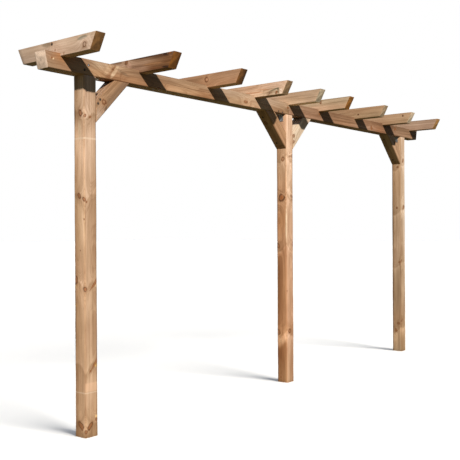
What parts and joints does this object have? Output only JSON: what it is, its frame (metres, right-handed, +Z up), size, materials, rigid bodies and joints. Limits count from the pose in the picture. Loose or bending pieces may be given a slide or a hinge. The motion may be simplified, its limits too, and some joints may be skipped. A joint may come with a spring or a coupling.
{
  "type": "wooden pergola",
  "caption": "Open wooden pergola: a row of square posts carrying a beam on knee braces, crossed by notched rafters with sloped ends.",
  "frame": {"origin": "middle of the middle post's foot, at ground level", "axes": "+X along the beam from the left post to the right post, -Y towards the front, +Z up"},
  "size_m": [4.431, 0.662, 2.173],
  "materials": {
    "post_pine": "planed, lightly weathered",
    "beam_pine": "planed, lightly weathered",
    "rafter_pine": "planed, sawn ends",
    "brace_pine": "planed, lightly weathered",
    "zinc_steel": "dull zinc plate"
  },
  "bodies": {
    "root": {"post_left": "post_pine", "post_middle": "post_pine", "post_right": "post_pine", "beam_left": "beam_pine", "beam_right": "beam_pine", "rafter_1": "rafter_pine", "rafter_2": "rafter_pine", "rafter_3": "rafter_pine", "rafter_4": "rafter_pine", "rafter_5": "rafter_pine", "rafter_6": "rafter_pine", "rafter_7": "rafter_pine", "rafter_8": "rafter_pine", "rafter_9": "rafter_pine", "brace_left_post": "brace_pine", "brace_middle_left": "brace_pine", "brace_middle_right": "brace_pine", "brace_right_post": "brace_pine", "bracket_left_post": "zinc_steel", "bracket_middle_left": "zinc_steel", "bracket_middle_right": "zinc_steel", "bracket_right_post": "zinc_steel"}
  },
  "joints": []
}
